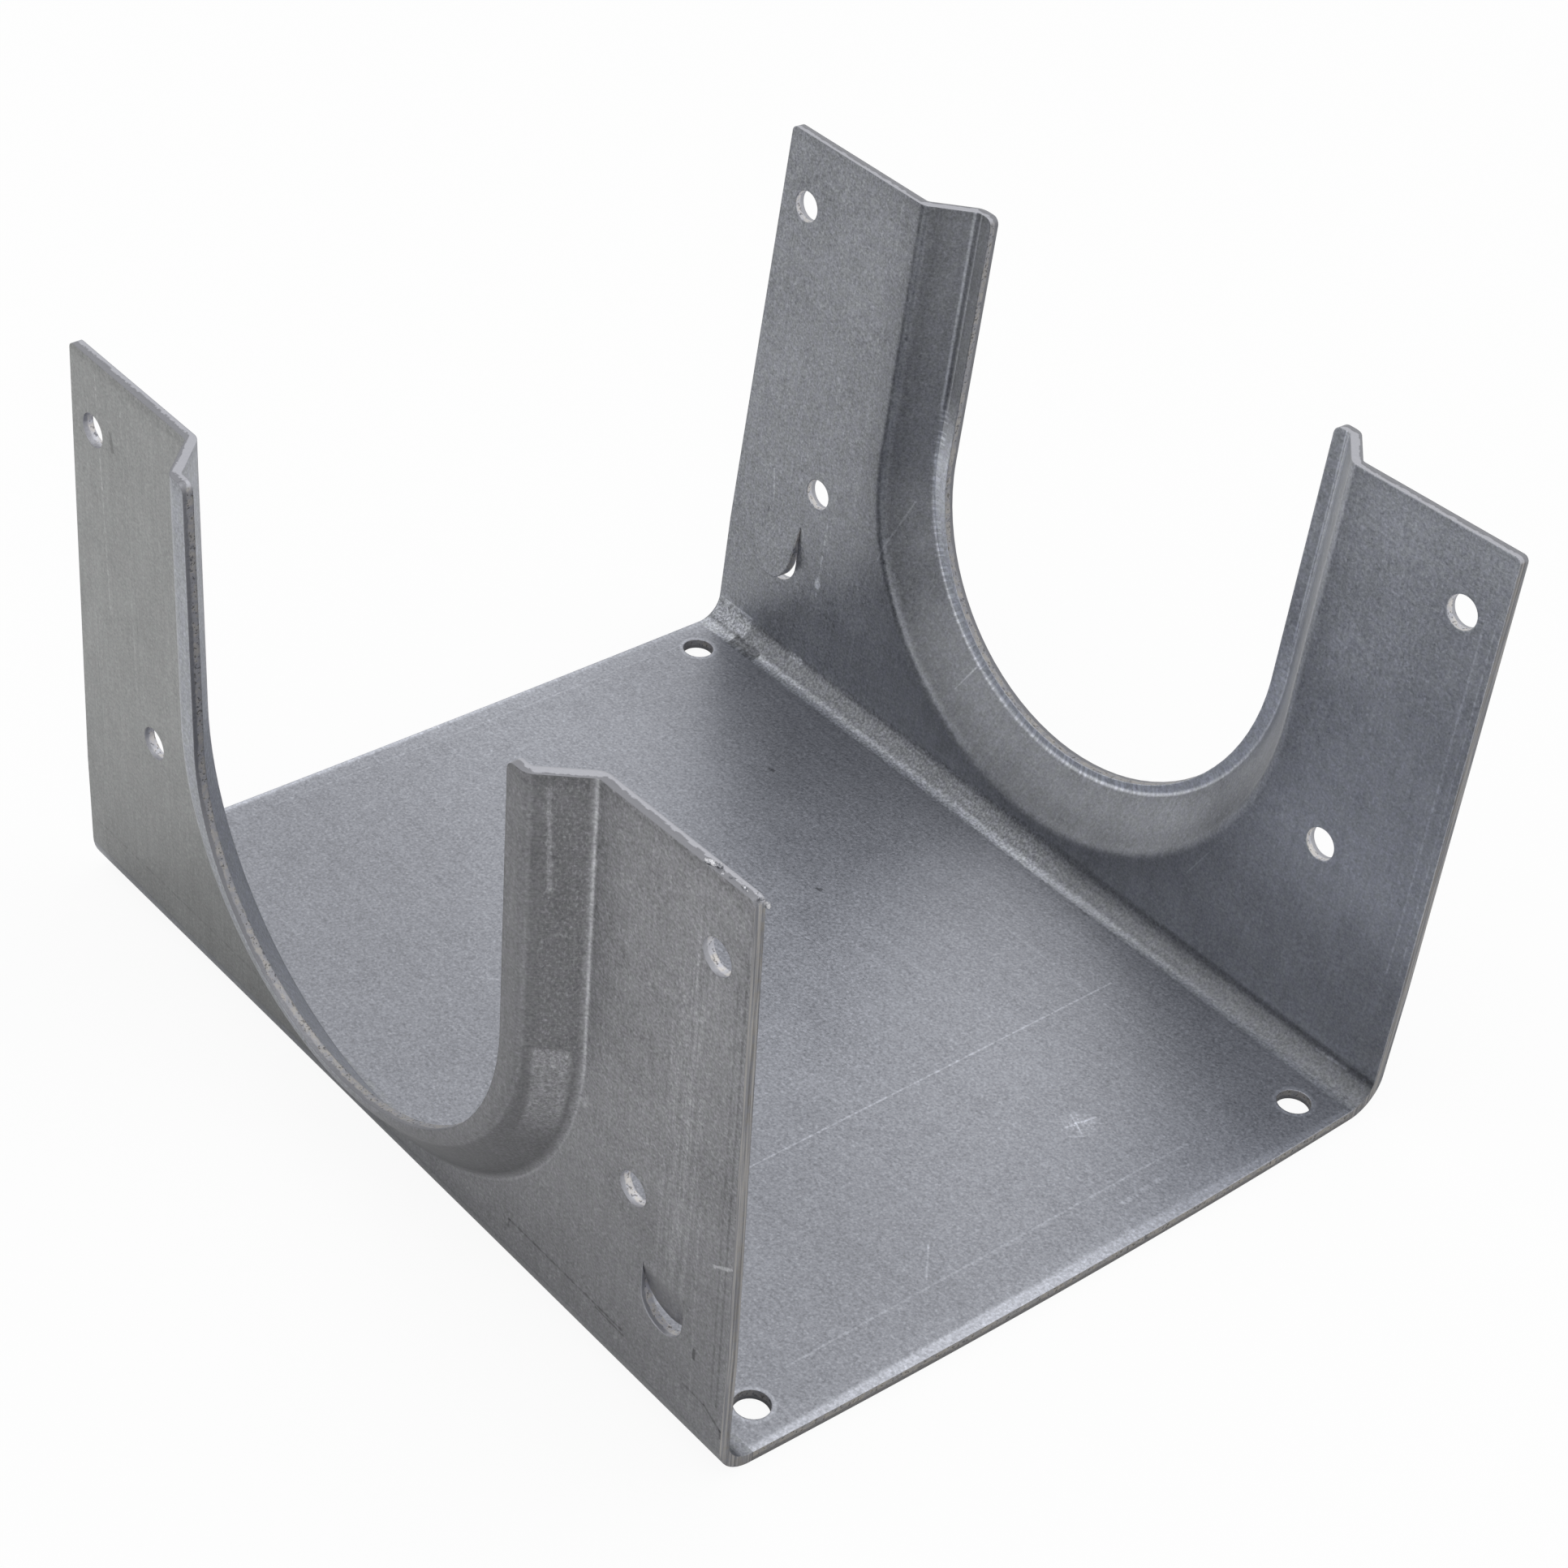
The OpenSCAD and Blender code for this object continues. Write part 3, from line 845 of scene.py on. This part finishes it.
def dieTicks(t, x, h, inner):
    # waves along the U, in groups, kept to a narrow band of radii
    centre = shoe["footHeight"] + tick["centreUp"]
    at = use(t, notchPlace, X=x, Height=h, Centre=centre).outputs
    leg = calc(t, "DIVIDE", calc(t, "MAXIMUM", minus(t, h, centre), 0.0), tick["legTurn"])
    sweep = calc(t, "ADD", at["Angle"], leg)
    rate, size = tick["drift"]
    drifted = madd(t, calc(t, "SINE", times(t, sweep, rate)), size, sweep)
    wave = calc(t, "SINE", times(t, drifted, tick["rate"]))
    rate, size = tick["groups"]
    strong = calc(t, "SINE", times(t, sweep, rate))
    ticks = times(t, ease(t, madd(t, strong, size, wave), *tick["levels"]), band(t, at["R"], *tick["radius"]))
    return times(t, ticks, inner, fade(t, h, *tick["below"]), ease(t, x, *tick["rightX"]))


def dressFar(t, place, w, p):
    x, h, out, y = w["X"], w["Height"], w["Out"], w["Y"]
    k, f = wallLook, farLook
    # Far inner face: lighter to the right, darker low down and towards the foot bend, with ramp and lip set
    # by region: painted light and shade
    toRight = ease(t, x, *f["rightX"])
    low = band(t, h, *f["lowUp"])
    farTone = blendTo(t, zinc["farLeft"], zinc["farRight"], toRight)
    farTone = blendTo(t, farTone, blendTo(t, zinc["farLowShade"], zinc["farLowRightShade"], toRight), low)
    rampSide = times(t, ease(t, out, *f["rampIn"]), fade(t, out, *f["rampEnd"]))
    farTone = times(t, farTone, ease(t, p["radius"], *f["footShadeRadius"]))
    rampTone = times(t, blendTo(t, zinc["farRamp"], zinc["farRampRight"], toRight),
                     blendTo(t, *f["rampShades"], ease(t, out, *f["rampShadeOut"])))
    farTone = blendTo(t, farTone, rampTone, rampSide)
    lipTone = blendTo(t, zinc["farLip"], zinc["farRamp"], ease(t, h, *f["lipUp"]))
    lipTone = blendTo(t, lipTone, zinc["farLipRight"], toRight)
    farTone = blendTo(t, farTone, lipTone, ease(t, out, *f["lip"]))
    # The far fold: a thin light line on its base side is a painted highlight, and the darker band up the fold
    # is painted shade
    foldShading = blendTo(t, zinc["shadedBaseByFar"], zinc["foldHighlight"], ease(t, h, *f["foldUp"]))
    skewed = madd(t, x, f["foldSkew"], h)
    foldShading = blendTo(t, foldShading, zinc["foldShading"], ease(t, skewed, *f["foldDark"]))
    tone = blendTo(t, foldShading, farTone, p["inner"])
    # a light band that hides the foot bend's dark shading line: painted light
    paintedFootLight = times(t, p["inner"], band(t, p["radius"], *f["foot"]), fade(t, x, *f["footX"]))
    tone = gain(t, tone, paintedFootLight, f["footLift"])
    # the far wall's outer face and ramp take the near wall's painted light and shade
    tone = blendTo(t, tone, outerTone(t, h, p), p["outer"])
    tone = blendTo(t, tone, zinc["nearRampShade"], p["ramp"])
    # light lines at the ramp-to-lip step: painted highlights
    stepHighlights = most(t, *(band(t, p["radius"], *radii) for radii in f["stepRadii"]))
    tone = gain(t, tone, times(t, stepHighlights, p["inner"], ease(t, h, *f["stepUp"])), f["stepLift"])
    tone = gain(t, tone, dieTicks(t, x, h, p["inner"]), tick["lift"])
    tone = gain(t, tone, addMarks(t, "far", x, h, most(t, p["inner"], p["fold"])), 1.0)

    imprint = most(t, *(patchMask(t, x, h, *values) for values in f["imprints"]))
    foldInside = fade(t, out, *k["foldInside"])
    foldFlecks = times(t, foldInside, band(t, x, *f["fleckX"]), p["fold"], ease(t, y, *f["fleckY"]))
    streak = grain(t, x, h, k["streakGrain"], 7.0, 3.0, 0.65)
    tone = swing(t, tone, streak, times(t, p["both"], k["streakLift"]))
    worn = noise(t, place, f["grit"], 2.0, 0.7)
    grit = ease(t, worn, *f["gritLevels"])
    tone = gain(t, tone, times(t, imprint, madd(t, grit, *f["imprintShare"])), f["imprintLift"])
    tone = gain(t, tone, times(t, foldFlecks, grit), f["fleckLift"])
    pits = minus(t, ease(t, worn, *f["pitLevels"]), f["pitMiddle"])
    pitted = times(t, p["fold"], foldInside, pits)
    tone = gain(t, tone, pitted, f["foldLift"])
    byTop = times(t, p["both"], fade(t, p["topGap"], *k["topDull"]), grit)
    tone = gain(t, tone, byTop, k["topDullLift"])

    colour = blendColour(t, zinc["cool"], zinc["violet"], times(t, p["outer"], f["outerViolet"]))
    speckle = madd(t, times(t, p["inner"], fade(t, x, *f["speckleX"])), *f["speckle"])
    cloudy = madd(t, p["inner"], *f["cloud"])
    return wallMetal(t, place, w, p, tone, colour, speckle, cloudy, times(t, p["ramp"], k["rampRough"]))


# One material for the whole sheet. The two mixes choose by face, so only the
# base, the near wall or the far wall is worked out at any point
def makeGalvanised():
    m = bpy.data.materials.new("galvanisedSheet")
    m.use_nodes = True
    t = m.node_tree
    t.nodes.clear()
    result = t.nodes.new("ShaderNodeOutputMaterial")
    coords = t.nodes.new("ShaderNodeTexCoord")
    place = coords.outputs["Object"]
    w = use(t, wallPlace, Position=place, Normal=coords.outputs["Normal"]).outputs
    p = wallParts(t, w)
    isBase = calc(t, "GREATER_THAN", w["Floor"], 0.5)
    walls = chooseShader(t, w["Far"], dressNear(t, place, w, p), dressFar(t, place, w, p))
    t.links.new(chooseShader(t, isBase, walls, dressBase(t, place, w)), result.inputs[0])
    return m


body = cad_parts["stud_shoe"]
galvanised = makeGalvanised()
for s in body.material_slots:
    s.material = galvanised
print("sheet material made")

# Burrs that the shears left on the near wall's top edge, in metres
burrs = {
    "row": {"start": (0.0612, -0.0609, 0.0875), "end": (0.0688, -0.0607, 0.0876),
            "count": 14, "size": 0.00038, "seed": 5},
    "lump": {"start": (0.0602, -0.0608, 0.0876), "end": (0.0608, -0.0608, 0.0877),
             "count": 3, "size": 0.0006, "seed": 2},
    "spread": ((-0.8, -0.9, -0.5), (0.8, 0.9, 0.3)),     # in sizes
    "turn": ((0, 0, 0), (3, 3, 3)),
    "scale": ((0.5, 0.4, 0.35), (1.6, 0.9, 0.8)),
    "subdivisions": 3,
    "lumps": 2200.0,
}


def makeBurrGroup():
    g = bpy.data.node_groups.new("edgeBurrs", "GeometryNodeTree")
    inputs = (("Start", "Vector"), ("End", "Vector"), ("Count", "Int"), ("Size", "Float"),
              ("Seed", "Int"), ("Material", "Material"))
    for name, kind in inputs:
        g.interface.new_socket(name, in_out="INPUT", socket_type="NodeSocket" + kind)
    g.interface.new_socket("Geometry", in_out="OUTPUT", socket_type="NodeSocketGeometry")
    i, o = g.nodes.new("NodeGroupInput").outputs, g.nodes.new("NodeGroupOutput")

    def node(kind, **links):
        n = g.nodes.new(kind)
        for key, value in links.items():
            plug(g, value, n.inputs[key])
        return n

    def pick(limits, salt):
        # a random vector for each burr
        n = g.nodes.new("FunctionNodeRandomValue")
        n.data_type = "FLOAT_VECTOR"
        n.inputs[0].default_value, n.inputs[1].default_value = limits
        g.links.new(calc(g, "ADD", i["Seed"], salt), n.inputs["Seed"])
        return n.outputs[0]

    line = g.nodes.new("GeometryNodeMeshLine")
    line.mode = "END_POINTS"
    g.links.new(i["Count"], line.inputs[0])
    g.links.new(i["Start"], line.inputs[2])
    g.links.new(i["End"], line.inputs[3])
    shift = scaled(g, pick(burrs["spread"], 1), i["Size"])
    spread = node("GeometryNodeSetPosition", Geometry=line.outputs[0], Offset=shift)
    ball = node("GeometryNodeMeshIcoSphere", Radius=i["Size"], Subdivisions=burrs["subdivisions"])
    many = node("GeometryNodeInstanceOnPoints", Points=spread.outputs[0], Instance=ball.outputs[0],
                Rotation=pick(burrs["turn"], 2), Scale=pick(burrs["scale"], 3))
    real = node("GeometryNodeRealizeInstances", Geometry=many.outputs[0])
    lumpy = node("ShaderNodeTexNoise", Scale=burrs["lumps"])
    ragged = vecMath(g, "SUBTRACT", lumpy.outputs["Color"], (0.5, 0.5, 0.5))
    rough = node("GeometryNodeSetPosition", Geometry=real.outputs[0], Offset=scaled(g, ragged, i["Size"]))
    done = node("GeometryNodeSetMaterial", Geometry=rough.outputs[0], Material=i["Material"])
    g.links.new(done.outputs[0], o.inputs[0])
    return g


def makeBurrMetal():
    m = bpy.data.materials.new("burrMetal")
    m.use_nodes = True
    t = m.node_tree
    t.nodes.clear()
    result = t.nodes.new("ShaderNodeOutputMaterial")
    place = t.nodes.new("ShaderNodeTexCoord").outputs["Object"]
    skin = use(t, zincSpangle, Position=place, Speckle=1.5, Cloud=0.5, Grain=0.0).outputs
    bits = ease(t, noise(t, place, 1500.0, 3.0, 0.7), 0.4, 0.6)
    tone = times(t, skin["Tone"], madd(t, bits, 1.1, 0.7))
    colour = blendColour(t, zinc["cool"], zinc["rust"], times(t, bits, 0.3))
    rough = calc(t, "ADD", zinc["baseRough"], skin["Rough"])
    t.links.new(metal(t, tone, colour, rough, skin["Height"]), result.inputs[0])
    return m


def makeBurrs(name, group, material, values):
    o = bpy.data.objects.new(name, bpy.data.meshes.new(name))
    bpy.context.collection.objects.link(o)
    grow = o.modifiers.new("edgeBurrs", "NODES")
    grow.node_group = group
    for item in group.interface.items_tree:
        if item.in_out == "INPUT":
            grow[item.identifier] = material if item.name == "Material" else values[item.name.lower()]
    bpy.context.view_layer.update()
    mesh = bpy.data.meshes.new_from_object(o.evaluated_get(bpy.context.evaluated_depsgraph_get()))
    o.modifiers.clear()
    o.data = mesh
    for face in mesh.polygons:
        face.use_smooth = True
    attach(o, "root")


burrGroup, burrMetal = makeBurrGroup(), makeBurrMetal()
makeBurrs("burrRow", burrGroup, burrMetal, burrs["row"])
makeBurrs("burrLump", burrGroup, burrMetal, burrs["lump"])
print("burrs made")

# Studio, in metres
studio = {
    "floorHalf": 3.0,
    "floorDrop": 0.00002,      # keeps the floor clear of the sheet's underside
    "floorWhite": 0.78,
    "floorGlow": 0.92,         # share of plain white that the camera sees
    "worldStrength": 1.0,
    "topPower": 0.8,
    "topSize": 0.5,
    "topHeight": 0.8,
}


def makeFloor():
    size = studio["floorHalf"]
    corners = [(-size, -size, 0), (size, -size, 0), (size, size, 0), (-size, size, 0)]
    mesh = bpy.data.meshes.new("floor")
    mesh.from_pydata(corners, [], [(0, 1, 2, 3)])
    o = bpy.data.objects.new("floor", mesh)
    o.location.z = -studio["floorDrop"]
    bpy.context.collection.objects.link(o)
    m = bpy.data.materials.new("paleFloor")
    m.use_nodes = True
    t = m.node_tree
    t.nodes.clear()
    out = t.nodes.new("ShaderNodeOutputMaterial")
    matt = t.nodes.new("ShaderNodeBsdfDiffuse")
    matt.inputs["Color"].default_value = (studio["floorWhite"],) * 3 + (1.0,)
    glow = t.nodes.new("ShaderNodeEmission")
    glow.inputs["Color"].default_value = (1.0, 1.0, 1.0, 1.0)
    seen = t.nodes.new("ShaderNodeLightPath")
    share = times(t, seen.outputs["Is Camera Ray"], studio["floorGlow"])
    t.links.new(chooseShader(t, share, matt.outputs[0], glow.outputs[0]), out.inputs[0])
    mesh.materials.append(m)


def makeWorld():
    w = bpy.data.worlds.new("paleRoom")
    w.use_nodes = True
    bg = w.node_tree.nodes["Background"]
    bg.inputs["Color"].default_value = (1.0, 1.0, 1.0, 1.0)
    bg.inputs["Strength"].default_value = studio["worldStrength"]
    bpy.context.scene.world = w


def makeTopLamp():
    data = bpy.data.lights.new("topLamp", "AREA")
    data.energy = studio["topPower"]
    data.size = studio["topSize"]
    o = bpy.data.objects.new("topLamp", data)
    o.location = (0.0, 0.0, studio["topHeight"])
    bpy.context.collection.objects.link(o)


makeFloor()
makeWorld()
makeTopLamp()

# Camera, in metres, degrees and millimetres
lens = {
    "place": (0.2616, -0.2513, 0.3033),
    "azimuth": 48.128,
    "elevation": 36.666,
    "roll": 5.3435,
    "focal": 77.56,
    "sensor": 36.0,
    "shiftX": 0.0859,      # the photograph is framed a little off its centre
    "nearEnd": 0.01,
    "farEnd": 20.0,
}


def makeCamera():
    a, e, r = (math.radians(lens[k]) for k in ("azimuth", "elevation", "roll"))
    back = Vector((math.sin(a) * math.cos(e), -math.cos(a) * math.cos(e), math.sin(e)))
    right = Vector((math.cos(a), math.sin(a), 0))
    up = back.cross(right)
    camX = right * math.cos(r) + up * math.sin(r)
    camY = up * math.cos(r) - right * math.sin(r)
    data = bpy.data.cameras.new("camera")
    data.sensor_width = lens["sensor"]
    data.lens = lens["focal"]
    data.shift_x = lens["shiftX"]
    data.clip_start = lens["nearEnd"]
    data.clip_end = lens["farEnd"]
    o = bpy.data.objects.new("camera", data)
    o.matrix_world = Matrix((camX, camY, back)).transposed().to_4x4()
    o.location = lens["place"]
    bpy.context.collection.objects.link(o)
    bpy.context.scene.camera = o


makeCamera()
bpy.context.scene.view_settings.view_transform = "Standard"
print("studio and camera made")
